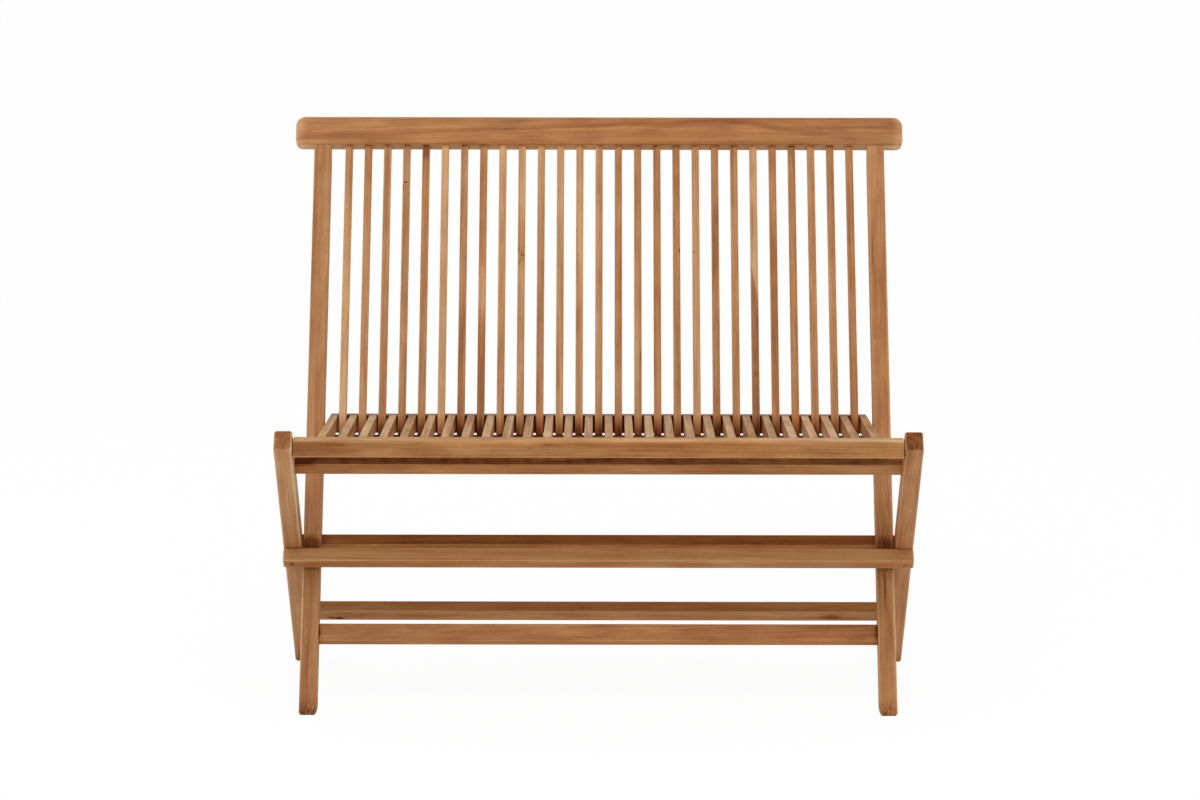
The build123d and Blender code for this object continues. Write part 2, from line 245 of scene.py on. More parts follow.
def place_in_log(tree, given):
    """Where in the log a point lies, with each board sawn at its own place and a little off true."""
    along = axes_of(tree, given["Place"])["Z"]
    place = vector_calc(tree, "ADD", given["Place"], chance(tree, given["Board"], board_spread))
    skew = chance(tree, calc(tree, "ADD", given["Board"], skew_lot), board_skew)
    lean = step(tree, "VectorMath", {"Vector": skew, "Scale": along}, operation="SCALE").outputs[0]
    return vector_calc(tree, "ADD", place, lean)


def sway_at(tree, place):
    """How a tree sways as it grows, as a slow swing about zero."""
    slow = vector_calc(tree, "MULTIPLY", place, sway_waves)
    noise = step(tree, "TexNoise", {"Vector": slow, "Scale": 1.0, "Detail": 1.0}).outputs["Color"]
    return vector_calc(tree, "SUBTRACT", noise, halfway)


def draw_rings(tree, place, sway, swirl):
    """Rings round the swaying pith, thick in good years and thin in bad ones."""
    section = vector_calc(tree, "ADD", place, vector_calc(tree, "MULTIPLY", sway, pith_sway))
    radius = length_of(tree, vector_calc(tree, "MULTIPLY", section, across_only))
    radius = calc(tree, "ADD", radius, swirl)
    lot = {"W": times(tree, radius, uneven_per_metre), "Scale": 1.0, "Detail": 1.0}
    uneven = step(tree, "TexNoise", lot, noise_dimensions="1D").outputs[0]
    years = total(tree, times(tree, radius, rings_per_metre), times(tree, uneven, uneven_years))
    return ramp(tree, calc(tree, "FRACT", years), ring_stops)


print("rings", round(1000 / rings_per_metre, 1), "mm apart")

# %% [markdown]
# ## Fibres
# Oil drowns most rings, so they come and go in patches. What the eye sees first are soft clouds: a slow
# blotch along the stick and a smaller figure, a hand wide, where the fibres dip in and out of the surface.
# Streaks, fine hairlines and short dark pores follow the fibres. Wave bands would repeat too evenly, so
# each of these is noise that is drawn out along the grain, given by how many lie in a metre across and
# along it and how much detail it has.

# %% Helpers for fibres
blotch_size = (14.0, 3.6, 2.0)
figure_size = (52.0, 13.0, 3.0)
streak_size = (150.0, 2.6, 2.0)
hairline_size = (900.0, 14.0, 3.0)
warmth_size = (40.0, 1.6, 1.0)
ring_patch_size, ring_patch_cut = (11.0, 2.4, 0.0), (0.40, 0.66)
pore_size, pore_cut = (2400.0, 130.0, 1.0), (0.60, 0.74)
fibre_sway = (0.02, 0.02, 0.0)
fibre_roughness = 0.55
noise_low, noise_high = 0.35, 0.65


def fibre_noise(tree, place, size):
    """Noise drawn out along the grain."""
    across, along, detail = size
    drawn = vector_calc(tree, "MULTIPLY", place, (across, across, along))
    inputs = {"Vector": drawn, "Scale": 1.0, "Detail": detail, "Roughness": fibre_roughness}
    return step(tree, "TexNoise", inputs).outputs[0]


def swing(tree, noise, amount):
    """Noise turned into a swing about zero."""
    return times(tree, calc(tree, "SUBTRACT", noise, 0.5), amount)


def patches(tree, noise, least, most):
    """Noise turned into patches, from a least to a most."""
    return stretch(tree, noise, noise_low, noise_high, least, most)


def draw_fibres(tree, place, sway):
    """All that follows the fibres."""
    bent = vector_calc(tree, "ADD", place, vector_calc(tree, "MULTIPLY", sway, fibre_sway))
    return {
        "blotch": fibre_noise(tree, place, blotch_size),
        "figure": fibre_noise(tree, bent, figure_size),
        "streak": fibre_noise(tree, bent, streak_size),
        "hairline": fibre_noise(tree, bent, hairline_size),
        "warmth": fibre_noise(tree, place, warmth_size),
        "ring patch": stretch(tree, fibre_noise(tree, place, ring_patch_size), *ring_patch_cut),
        "pore": stretch(tree, fibre_noise(tree, place, pore_size), *pore_cut),
    }


print("hairlines", round(1000 / hairline_size[0], 1), "mm apart")

# %% [markdown]
# ## From grain to colour
# Every layer says how much darker it makes the wood, and the sum is the tone, from 0, pale, to 1, dark.
# The tone picks a colour in each family, and redness picks between the families. The same layers give the
# gloss, because open grain scatters light, and the height of the grain, because soft wood wears down
# between the hairlines. So colour, gloss and touch always agree.

# %% Helpers for tone and colour
blotch_swing, figure_swing = 0.50, 0.54
streak_swing, hairline_swing = 0.38, 0.50
ring_depths = (-0.05, 0.15)
pore_depth = 0.14
sawn_depth = 0.22
# eased edges are toned paler: partly wear, partly a painted highlight where the rounding catches light
edge_wear_and_light_depth = -0.34
warmth_swing = 1.1
knot_red = 0.4
all_straw = -0.5


def mix_tone(tree, given, fibres, ring, edge_wear_and_light):
    """How dark a point is."""
    blotch = swing(tree, fibres["blotch"], blotch_swing)
    clouds = calc(tree, "ADD", blotch, swing(tree, fibres["figure"], figure_swing))
    return total(
        tree,
        given["Tone"],
        times(tree, clouds, given["Clouds"]),
        swing(tree, fibres["streak"], streak_swing),
        swing(tree, fibres["hairline"], hairline_swing),
        times(tree, fibres["ring patch"], stretch(tree, ring, 0.0, 1.0, *ring_depths)),
        times(tree, fibres["pore"], pore_depth),
        times(tree, given["Sawn end"], sawn_depth),
        # paler eased edges: wear and a painted highlight
        times(tree, edge_wear_and_light, edge_wear_and_light_depth),
        given["Knot"],
    )


def mix_colour(tree, given, fibres, tone):
    """The colour for a tone: tan at no redness, brick above it and straw below."""
    warmth = swing(tree, fibres["warmth"], warmth_swing)
    red = total(tree, given["Red"], warmth, times(tree, given["Knot"], knot_red))
    brick_share = stretch(tree, red, 0.0, 1.0)
    straw_share = stretch(tree, red, 0.0, all_straw)
    colour = blend_colours(tree, brick_share, ramp(tree, tone, tan_teak), ramp(tree, tone, red_teak))
    return blend_colours(tree, straw_share, colour, ramp(tree, tone, straw_teak))


print("a pore is", pore_depth, "darker than the wood round it")

# %% Helpers for roughness and grain
oiled_rough = 0.42
streak_rough = 0.25
sawn_rough = 0.15
worn_rough = -0.06
dry_rough = 0.12
hairline_ridge, streak_ridge, pore_pit = 0.7, 0.5, 0.35


def mix_roughness(tree, given, fibres, edge_wear_and_light):
    """How rough a point is to light."""
    return total(
        tree,
        swing(tree, fibres["streak"], streak_rough),
        times(tree, given["Sawn end"], sawn_rough),
        times(tree, edge_wear_and_light, worn_rough),
        times(tree, given["Dryness"], dry_rough),
        oiled_rough,
    )


def raise_grain(tree, fibres):
    """How high a point stands: hairlines and streaks are ridges, and pores are pits."""
    hairlines = times(tree, fibres["hairline"], hairline_ridge)
    ridges = total(tree, hairlines, times(tree, fibres["streak"], streak_ridge))
    return calc(tree, "SUBTRACT", ridges, times(tree, fibres["pore"], pore_pit))


print("oiled wood has a roughness of", oiled_rough)

# %% Grow the teak
worn_least = 0.3
recipe_sockets = [
    ("Place", "INPUT", "Vector"),
    ("Board", "INPUT", "Float"),
    ("Tone", "INPUT", "Float"),
    ("Red", "INPUT", "Float"),
    ("Clouds", "INPUT", "Float"),
    ("Dryness", "INPUT", "Float"),
    ("Sawn end", "INPUT", "Float"),
    ("Edge", "INPUT", "Float"),
    ("Swirl", "INPUT", "Float"),
    ("Knot", "INPUT", "Float"),
    ("Colour", "OUTPUT", "Color"),
    ("Roughness", "OUTPUT", "Float"),
    ("Height", "OUTPUT", "Float"),
]


def grow_teak():
    """The recipe shared by every stick: places in a board go in, colour, gloss and grain come out."""
    tree = bpy.data.node_groups.new("teak", "ShaderNodeTree")
    for name, side, kind in recipe_sockets:
        tree.interface.new_socket(name, in_out=side, socket_type="NodeSocket" + kind)
    given = tree.nodes.new("NodeGroupInput").outputs
    place = place_in_log(tree, given)
    sway = sway_at(tree, place)
    ring = draw_rings(tree, place, sway, given["Swirl"])
    fibres = draw_fibres(tree, place, sway)
    edge_wear_and_light = times(tree, given["Edge"], patches(tree, fibres["blotch"], worn_least, 1.0))
    tone = mix_tone(tree, given, fibres, ring, edge_wear_and_light)
    taken = tree.nodes.new("NodeGroupOutput").inputs
    tree.links.new(mix_colour(tree, given, fibres, tone), taken["Colour"])
    tree.links.new(mix_roughness(tree, given, fibres, edge_wear_and_light), taken["Roughness"])
    tree.links.new(raise_grain(tree, fibres), taken["Height"])
    return tree


teak_recipe = grow_teak()
print("teak recipe with", len(teak_recipe.nodes), "nodes")

# %% [markdown]
# ## Sawing the sticks
# Each stick needs its grain to run along it. Unwrapping every stick would do it, but its faces would no
# longer join up. So a Mapping node turns the bench's own coordinates until Z runs along the stick, and the
# board number picks where in the log it was cut. The surface's direction is turned in the same way, and
# tells three things apart: flat faces look straight along one of the stick's axes, sawn ends look along
# the grain, and eased edges look somewhere between. Sawn ends drink more oil and go darker. The edges are
# paler, partly rubbed by hands and cloth and partly a painted highlight where the rounding catches light.

# %% Turn the grain
lean_back = math.radians(31.6)
leg_rake = math.radians(45.1)
seat_fall = math.radians(4.35)
grain_turns = {
    "back": (pivot, (-lean_back, 0.0, 0.0)),
    "leg": (pivot, (leg_rake, 0.0, 0.0)),
    "seat": (seat_pin, (-math.pi / 2 - seat_fall, 0.0, 0.0)),
    "back_rail": (pivot, (-lean_back, 0.0, 0.0)),
    "leg_rail": (pivot, (leg_rake, 0.0, 0.0)),
    "seat_rail": (seat_pin, (-seat_fall, 0.0, 0.0)),
}
print("grain runs", sorted(grain_turns))

# %% Open a board
sawn_from, sawn_to = 0.75, 0.97
edge_from, edge_to = 0.985, 0.80


def turn_to_stick(tree, spot, normal, grain):
    """A point's place on the stick and the way its face looks, in the stick's own axes."""
    middle, turn = grain_turns[grain]
    shifted = {"Vector": spot, "Location": middle, "Rotation": turn}
    place = step(tree, "Mapping", shifted, vector_type="TEXTURE").outputs[0]
    turned = {"Vector": normal, "Rotation": turn}
    looking = step(tree, "VectorRotate", turned, rotation_type="EULER_XYZ", invert=True).outputs[0]
    return place, looking


def new_material(name):
    """A material with an empty node tree."""
    material = bpy.data.materials.new(name)
    material.use_nodes = True
    material.node_tree.nodes.clear()
    return material


def open_board(name, grain):
    """A new material, with what the recipe needs to know about the stick at each point."""
    material = new_material(name)
    tree = material.node_tree
    source = tree.nodes.new("ShaderNodeTexCoord").outputs
    place, looking = turn_to_stick(tree, source["Object"], source["Normal"], grain)
    turned_to = axes_of(tree, looking)
    facing = axes_of(tree, vector_calc(tree, "ABSOLUTE", looking))
    end_on = facing["Z"]
    if grain.endswith("rail"):
        parts = axes_of(tree, place)
        swapped = {"X": parts["Z"], "Y": parts["Y"], "Z": parts["X"]}
        place = step(tree, "CombineXYZ", swapped).outputs[0]
        end_on = facing["X"]
    on_stick = axes_of(tree, place)
    squarest = calc(tree, "MAXIMUM", calc(tree, "MAXIMUM", facing["X"], facing["Y"]), facing["Z"])
    return {
        "material": material,
        "tree": tree,
        "spot": source["Object"],
        "place": place,
        "along": on_stick["Z"],
        "across": on_stick["X"],
        "sawn": stretch(tree, end_on, sawn_from, sawn_to),
        "edge": stretch(tree, squarest, edge_from, edge_to),
        "upward": turned_to["Z"],
        "forward": times(tree, turned_to["Y"], -1.0),
        "sideways": facing["X"],
        "clouds": 1.0,
        "dryness": 0.0,
    }


print("a face counts as sawn when it looks along the grain by", sawn_to)

# %% [markdown]
# Oil is the finish of the whole bench: it soaks in, darkens the wood and leaves a thin low sheen. A clear
# coat on top would look varnished, so the sheen is the shader's own specular level, kept low, and lower
# still in knots and stains. The grain is raised by less than half a millimetre.

# %% Helper for oil
oiled_sheen = 0.14
dulled_at, dulled_share = 0.4, 0.2
grain_strength = 0.35
grain_height = 0.0004
stick_inputs = {
    "Place": "place",
    "Clouds": "clouds",
    "Dryness": "dryness",
    "Sawn end": "sawn",
    "Edge": "edge",
}


def show(tree, shader):
    """Sends a shader to the material's surface."""
    surface = tree.nodes.new("ShaderNodeOutputMaterial")
    tree.links.new(shader.outputs[0], surface.inputs["Surface"])


def oil(stick, board, tone, red, marks, sheen):
    """Finishes a stick: teak from the recipe, with a thin oiled sheen and grain that can be felt."""
    tree = stick["tree"]
    swerve, dark = marks
    if isinstance(dark, bpy.types.NodeSocket):
        sheen = times(tree, sheen, stretch(tree, dark, 0.0, dulled_at, 1.0, dulled_share))
    teak = tree.nodes.new("ShaderNodeGroup")
    teak.node_tree = teak_recipe
    given = {name: stick[key] for name, key in stick_inputs.items()}
    given.update({"Board": board, "Tone": tone, "Red": red, "Swirl": swerve, "Knot": dark})
    for name, value in given.items():
        fill(tree, teak.inputs[name], value)
    relief = {"Height": teak.outputs["Height"], "Strength": grain_strength, "Distance": grain_height}
    finish = {
        "Base Color": teak.outputs["Colour"],
        "Roughness": teak.outputs["Roughness"],
        "Normal": step(tree, "Bump", relief).outputs["Normal"],
        "Specular IOR Level": sheen,
    }
    show(tree, step(tree, "BsdfPrincipled", finish))
    return stick["material"]


print("grain raised by", 1000 * grain_height, "mm")

# %% [markdown]
# ## Knots and streaks
# Where a twig left the trunk, the grain swerves round a dark spot, and a drying crack or a vein of dark
# oil makes a thin line. Each such mark is given by its place on the stick, in metres across and along, its
# half width and half length, and how dark it is. The spot is ragged and adds to the tone, with a faint
# stain round it, and the rings are pushed aside, so that they bend round it without being drawn. A mark
# with less than no depth is a pale fleck instead.

# %% Helper for marks
rag_size, rag_swing = (700.0, 150.0, 2.0), 1.4
core_rim, core_heart = 1.3, 0.5
stain_rim, stain_share = 3.0, 0.2
push_share = 0.8


def add_marks(stick, marks):
    """The swerve and the tone that a list of (across, along, half wide, half long, depth) marks gives."""
    tree = stick["tree"]
    swerve = 0.0
    dark = 0.0
    for across, along, half_wide, half_long, depth in marks:
        off = vector_calc(tree, "SUBTRACT", stick["place"], (across, 0.0, along))
        far = length_of(tree, vector_calc(tree, "MULTIPLY", off, (1 / half_wide, 0.0, 1 / half_long)))
        rag = swing(tree, fibre_noise(tree, stick["place"], rag_size), rag_swing)
        ragged = calc(tree, "ADD", far, rag)
        core = stretch(tree, ragged, core_rim, core_heart, 0.0, depth, "SMOOTHSTEP")
        stain = stretch(tree, far, stain_rim, core_heart, 0.0, depth * stain_share, "SMOOTHSTEP")
        push = stretch(tree, far, stain_rim, 0.0, 0.0, half_wide * push_share, "SMOOTHSTEP")
        swerve = calc(tree, "ADD", swerve, push)
        dark = total(tree, dark, core, stain)
    return swerve, dark


print("a stain reaches", stain_rim, "times as far as its knot")

# %% [markdown]
# ## Rails, stiles and legs
# These are the big pieces, and each is sawn from its own board. The tones are judged against the
# picture, one for each end of the stick, because one tone for a whole stick looks like paint. The left
# leg and the right stile are browner toward the feet, the top rail darkens a little from left to right,
# and the plugs are darkest. For every piece the list gives the way of its grain, its board's number, the
# two tones and how red it is.

# %% Sort the boards
boards = {
    "top_rail": ("back_rail", 3.0, 0.46, 0.54, 0.5),
    "back_stile_left": ("back", 14.0, 0.51, 0.49, 0.3),
    "back_stile_right": ("back", 12.0, 0.50, 0.37, 0.5),
    # painted shade: the lower back rail is toned dark all over, as it lies in shade under the seat
    "lower_back_rail": ("back_rail", 21.0, 0.70, 0.70, 0.5),
    "front_stretcher": ("back_rail", 22.0, 0.49, 0.49, 0.6),
    "rear_leg_left": ("leg", 31.0, 0.55, 0.34, 0.05),
    "rear_leg_right": ("leg", 32.0, 0.43, 0.38, 0.4),
    "front_cross_bar": ("leg_rail", 41.0, 0.37, 0.39, 0.5),
    "rear_cross_bar": ("leg_rail", 42.0, 0.48, 0.48, 0.75),
    "under_seat_rail": ("leg_rail", 43.0, 0.56, 0.46, 0.2),
    "rear_stretcher": ("leg_rail", 44.0, 0.48, 0.48, 0.15),
    "seat_front_rail": ("seat_rail", 51.0, 0.62, 0.42, 0.3),
    # painted shade: the seat's rear rail is toned dark all over, as it lies in shade behind the back slats
    "seat_rear_rail": ("seat_rail", 52.0, 0.72, 0.72, 0.5),
    "front_bar_plugs": ("leg_rail", 61.0, 0.92, 0.60, 0.5),
    "rear_bar_plugs": ("leg_rail", 62.0, 0.92, 0.92, 0.5),
}
stick_ends = {"back": (-0.26, 0.68), "leg": (-0.31, 0.30)}
rail_ends = (-0.48, 0.48)
print(len(boards), "boards for rails, stiles, legs and plugs")

# %% [markdown]
# ## Knots, stains and painted shade on the big pieces
# No board is clean. The right stile has a small knot, two veins and a crack near its foot, and the rear
# stretcher has pin knots at the left and one soft speckled patch at the right. Shade is painted on both
# stiles just above the front bar, at both ends of the front stretcher, at the left end of the rail under
# the seat and on the legs' inner faces beside the bolt. The feet of the stiles, the right stile's outer
# edge and the left leg's inner edge are pale, partly rubbed and partly a painted highlight where the eased
# edge catches light. The rear bar's ends are dark. Chance would scatter such marks anywhere, so these are
# set one by one, by what the picture shows.

# %% List the marks
marks_on = {
    "back_stile_left": [
        # painted shade on the left stile just above the front bar
        (-0.4380, 0.0020, 0.0180, 0.0150, 0.30),
        # pale outer edge at the foot: partly rubbed, partly a painted highlight
        (-0.4508, -0.1300, 0.0016, 0.0900, -0.40),
    ],
    "back_stile_right": [
        (0.4320, 0.3390, 0.0035, 0.0030, -0.20),
        (0.4330, 0.3375, 0.0030, 0.0009, 0.22),
        (0.4298, 0.4980, 0.0012, 0.0400, 0.22),
        (0.4325, 0.4200, 0.0010, 0.0500, 0.14),
        # pale outer edge: partly rubbed, partly a painted highlight
        (0.4505, 0.2600, 0.0022, 0.2400, -0.20),
        (0.4370, -0.0630, 0.0008, 0.0240, 0.30),
        # painted shade on the right stile just above the front bar
        (0.4380, 0.0020, 0.0180, 0.0150, 0.25),
        (0.4385, 0.1050, 0.0160, 0.0400, -0.10),
        # pale outer edge at the foot: partly rubbed, partly a painted highlight
        (0.4508, -0.1200, 0.0016, 0.0900, -0.40),
    ],
    "front_stretcher": [
        # painted shadow at both ends, where the stretcher meets the stiles
        (-0.1360, -0.4250, 0.0160, 0.0030, 0.30),
        (-0.1360, 0.4250, 0.0160, 0.0050, 0.26),
    ],
    "rear_stretcher": [
        (-0.1940, -0.4070, 0.0030, 0.0080, 0.46),
        (-0.1920, -0.4200, 0.0020, 0.0060, 0.34),
        (-0.1885, 0.3650, 0.0070, 0.0160, 0.20),
    ],
    "rear_leg_left": [
        (-0.4753, -0.1070, 0.0035, 0.0012, -0.18),
        # painted shade on the leg's inner face beside the bolt
        (-0.4533, -0.0100, 0.0014, 0.0140, 0.45),
        # pale inner edge: partly rubbed, partly a painted highlight
        (-0.4548, 0.2150, 0.0016, 0.0950, -0.36),
    ],
    # painted shade on the right leg's inner face beside the bolt
    "rear_leg_right": [(0.4533, -0.0100, 0.0014, 0.0140, 0.45)],
    # painted shade at the left end of the rail's upper face
    "under_seat_rail": [(0.2345, -0.4450, 0.0060, 0.0250, 0.28)],
    "rear_cross_bar": [
        (-0.0135, -0.4530, 0.0300, 0.0040, 0.45),
        (-0.0135, 0.4530, 0.0300, 0.0040, 0.45),
    ],
    "seat_front_rail": [(0.0033, -0.0730, 0.0008, 0.0130, 0.22)],
}
print("marks on", len(marks_on), "pieces")

# %% [markdown]
# ## Painted shade, soak and dirt
# Faces that lie in the shade under and behind the seat are toned darker, with calmer clouds, as painted
# shade, and their oil is dull. One face of the front bar is toned paler instead. The legs' sawn tops have
# drunk the most oil, right up to their edges. Sides and undersides that nobody wipes have lost their
# sheen, and the sides are toned paler as painted light. The top of the seat's front rail is toned straw
# and dry, a painted sheen. All of this could be painted on by hand. Here the way a face looks picks out
# where it goes, which takes no painting and keeps each tone on its own faces.

# %% Helpers for wear
# painted shade: faces under and behind the seat are toned darker; the front bar's face is toned paler
painted_face_shade = {
    "under_seat_rail": ("upward", 0.28),
    "rear_cross_bar": ("upward", 0.20),
    "rear_stretcher": ("upward", 0.04),
    "front_cross_bar": ("upward", -0.14),
    "lower_back_rail": ("forward", 0.25),
    "seat_rear_rail": ("forward", 0.35),
}
face_from, face_to = 0.6, 0.9
crown_from = 0.5
under_to, under_from = -0.9, -0.5
dull_sheen = 0.06
dusty_sheen = 0.02
side_depth = -0.14


def on_face(stick, way, elsewhere, here, start=face_from):
    """One number on the faces that look a way, and another elsewhere."""
    return stretch(stick["tree"], stick[way], start, face_to, elsewhere, here)


def dull_painted_sides(stick):
    """The dull sheen of a stick's sides, and the paler tone painted on its sides as painted light."""
    sheen = on_face(stick, "sideways", oiled_sheen, dusty_sheen)
    return sheen, on_face(stick, "sideways", 0.0, side_depth)


def pick_sheen(stick, name):
    """The sheen that a rail or bar has kept."""
    if name == "seat_front_rail":
        return on_face(stick, "upward", oiled_sheen, dull_sheen, crown_from)
    if name in painted_face_shade:
        return dull_sheen
    return stretch(stick["tree"], stick["upward"], under_to, under_from, dusty_sheen, oiled_sheen)


print("wear ready for", len(painted_face_shade), "shaded pieces")

# %% [markdown]
# The feet stand on wet ground and have taken up dirt. It fades within three centimetres of the floor, and
# fine noise breaks it into specks, because an even fade would look like a shadow.

# %% Helper for dirt
dirt_up_to = 0.03
dirt_depth = 0.36
speck_size = (340.0, 160.0, 2.0)
speck_least, speck_most = 0.2, 1.4


def add_dirt(stick):
    """The tone of dirt at a foot, fading upward and broken into specks."""
    tree = stick["tree"]
    above_floor = axes_of(tree, stick["spot"])["Z"]
    dirt = stretch(tree, above_floor, dirt_up_to, 0.0, 0.0, dirt_depth, "SMOOTHSTEP")
    specks = patches(tree, fibre_noise(tree, stick["place"], speck_size), speck_least, speck_most)
    return times(tree, dirt, specks)


print("dirt up to", 1000 * dirt_up_to, "mm")

# %% [markdown]
# ## The top rail
# The widest board shows the most. It was sawn near the heart, so its face carries one long arch: pale
# inside, with dark rings round it that come and go. Waiting for the log to give such an arch by chance
# would take many tries, so it is laid out: two slanting lines meet at a crown, and a ramp of tones runs
# outward from them.

# %% Helper for the arch
arch_crown = (0.190, 0.716)
arch_falls = (0.048, -0.160)
arch_reach = 0.03
arch_stops = greys([
    (0.0, 0.44), (0.30, 0.28), (0.47, 0.28), (0.53, 0.95), (0.64, 0.66),
    (0.73, 0.48), (0.76, 0.74), (0.86, 0.52), (1.0, 0.60),
])
wave_size, wave_swing = (30.0, 5.0, 2.0), 0.010
arch_patch_size, arch_patch_cut, arch_depths = (20.0, 4.0, 1.0), (0.35, 0.60), (0.14, 0.38)


def add_arch(stick):
    """The tone of one long arch on a rail: paler inside, with dark rings round it that come and go."""
    tree = stick["tree"]
    crown_along, crown_across = arch_crown
    past = calc(tree, "SUBTRACT", stick["along"], crown_along)
    left_side, right_side = [times(tree, past, fall) for fall in arch_falls]
    rise = calc(tree, "SUBTRACT", stick["across"], calc(tree, "MINIMUM", left_side, right_side))
    wave = swing(tree, fibre_noise(tree, stick["place"], wave_size), wave_swing)
    wavy = calc(tree, "ADD", rise, wave)
    outside = stretch(tree, wavy, crown_across - arch_reach, crown_across + arch_reach)
    patch = fibre_noise(tree, stick["place"], arch_patch_size)
    showing = stretch(tree, patch, *arch_patch_cut, *arch_depths)
    return swing(tree, ramp(tree, outside, arch_stops), showing)


print("arch with its crown at", arch_crown)

# %% [markdown]
# Hands have rubbed both ends of the top rail pale, and the rounded ends are toned paler still as painted
# light. A darker line runs along its lower edge, and the underside is toned paler and greyer as painted
# light. How far out a point lies and the way its face looks are enough to place all three.

# %% Helper for handling
# the top rail's ends are toned pale: rubbed by hands, and painted paler still as painted light on the
# rounded ends
rubbed_from, rubbed_to = 0.464, 0.479
rubbed_and_lit_depth = -0.45
rub_size = (90.0, 40.0, 2.0)
rub_least, rub_most = 0.5, 1.2
seam_from, seam_to = -0.3, -0.7
seam_depth = 0.16
# painted light: the top rail's underside is toned paler and greyer
underside_from, underside_to = -0.85, -0.97
underside_depth = -0.27
underside_red = -0.15


def add_handling(stick):
    """The tone of a rail's ends, rubbed pale and painted paler as painted light, of a darker line along
    its lower edge, and of its underside, painted paler as painted light.
    """
    tree = stick["tree"]
    uneven = patches(tree, fibre_noise(tree, stick["place"], rub_size), rub_least, rub_most)
    ends = calc(tree, "ABSOLUTE", stick["along"])
    rubbed_and_lit = stretch(tree, ends, rubbed_from, rubbed_to, 0.0, rubbed_and_lit_depth)
    seam = stretch(tree, stick["upward"], seam_from, seam_to, 0.0, seam_depth)
    paler_face = stretch(tree, stick["upward"], underside_from, underside_to, 0.0, underside_depth - seam_depth)
    return total(tree, times(tree, rubbed_and_lit, uneven), seam, paler_face)


print("ends rubbed from", rubbed_from, "m out")

# %% [markdown]
# ## Dressing the frame
# Now every piece takes its board, its wear with its painted light and shade, and its marks, in that order,
# and the oil goes on last.

# %% Dress the frame's pieces
shade_clouds = 0.45
end_soak = {"rear_leg_left": 1.3, "rear_leg_right": 1.7, "top_rail": -0.5}
crisp_from, crisp_to = 0.272, 0.292
# painted sheen: tops seen at a flat angle are toned towards straw, standing in for their white shine
painted_sheen_red = -0.45


def dress(name, material):
    """Puts a material on a node of the bench."""
    slots = nodes[name].data.materials
    slots.clear()
    slots.append(material)


for name, (grain, board, first_tone, last_tone, red) in boards.items():
    stick = open_board("teak_" + name, grain)
    tree = stick["tree"]
    first_end, last_end = stick_ends.get(grain, rail_ends)
    tone = stretch(tree, stick["along"], first_end, last_end, first_tone, last_tone)
    # painted shade on the faces in the list, with calmer clouds there
    if name in painted_face_shade:
        side, depth = painted_face_shade[name]
        tone = calc(tree, "ADD", tone, on_face(stick, side, 0.0, depth))
        stick["clouds"] = on_face(stick, side, 1.0, shade_clouds)
    if name in end_soak:
        stick["sawn"] = times(tree, stick["sawn"], end_soak[name])
    if grain == "leg":
        crisp = stretch(tree, stick["along"], crisp_from, crisp_to, 1.0, 0.0)
        stick["edge"] = times(tree, stick["edge"], crisp)
    # the top rail: its arch, its pale ends, a darker lower edge, and its underside painted paler and
    # greyer as painted light
    if name == "top_rail":
        tone = total(tree, tone, add_arch(stick), add_handling(stick))
        red = stretch(tree, stick["upward"], underside_to, underside_from, underside_red, red)
    # painted sheen: the top of the seat's front rail is toned towards straw, and dry
    if name == "seat_front_rail":
        red = on_face(stick, "upward", red, painted_sheen_red, crown_from)
        stick["dryness"] = on_face(stick, "upward", 0.0, 1.0, crown_from)
    # painted light: the sides of stiles and legs are toned paler, and their sheen is dull
    if grain in stick_ends:
        sheen, paler_face = dull_painted_sides(stick)
        tone = total(tree, tone, add_dirt(stick), paler_face)
    else:
        sheen = pick_sheen(stick, name)
    marks = add_marks(stick, marks_on.get(name, []))
    dress(name, oil(stick, board, tone, red, marks, sheen))
print("dressed", len(boards), "pieces")

# %% [markdown]
# ## Slats
# The slats come from offcuts, so no two match. Fifty-five materials would do it, but one can serve a
# whole row: it counts the slats across the bench, and the count picks the board and the tone. The tones
# are named slat by slat from the left: very pale, pale, honey, brown, deep and old. Back slats
# have one at the top and one at the foot.

# %% Name the slats' tones
tone_words = {"v": 0.18, "p": 0.27, "h": 0.37, "b": 0.45, "d": 0.55, "o": 0.63}
back_tones_top = "hdphbphbvpppphbbddhdhphhbbh"
back_tones_foot = "vphbbpdohbdpphhhbhpdbdbhhpd"
seat_tones = "hbhhbhhbpbbpbdbphbbhhddvppbb"
slat_pitch = 0.0305


def count_slats(stick, tones):
    """The number of the slat that a point lies in, counted across the bench from the left."""
    tree = stick["tree"]
    pitches = calc(tree, "DIVIDE", stick["across"], slat_pitch)
    return calc(tree, "FLOOR", calc(tree, "ADD", pitches, len(tones) / 2))


def pick_tone(tree, number, tones):
    """The tone that a row of words gives for a slat's number."""
    share = calc(tree, "DIVIDE", calc(tree, "ADD", number, 0.5), len(tones))
    stops = greys([(index / len(tones), tone_words[word]) for index, word in enumerate(tones)])
    return ramp(tree, share, stops, "CONSTANT")


print(len(back_tones_top), "back slats and", len(seat_tones), "seat slats")

# %% [markdown]
# Pale wood stays near tan and deep wood leans to brick, with a share left to chance. Thin strips are often
# sawn across the line between young and old wood, so some are paler down one side.

# %% Helpers for slats
red_lot = 0.37
red_swing = 0.35
pale_tone, deep_tone, deep_red = 0.15, 0.55, 0.6
young_size, young_cut, young_depths = (62.0, 0.8, 1.0), (0.46, 0.54), (-0.05, 0.05)


def pick_red(tree, number, tone):
    """How red a slat is, by its tone and by lot."""
    lot = step(tree, "TexWhiteNoise", {"W": calc(tree, "ADD", number, red_lot)}, noise_dimensions="1D")
    leaning = stretch(tree, tone, pale_tone, deep_tone, 0.0, deep_red)
    return calc(tree, "ADD", leaning, swing(tree, lot.outputs["Value"], red_swing))


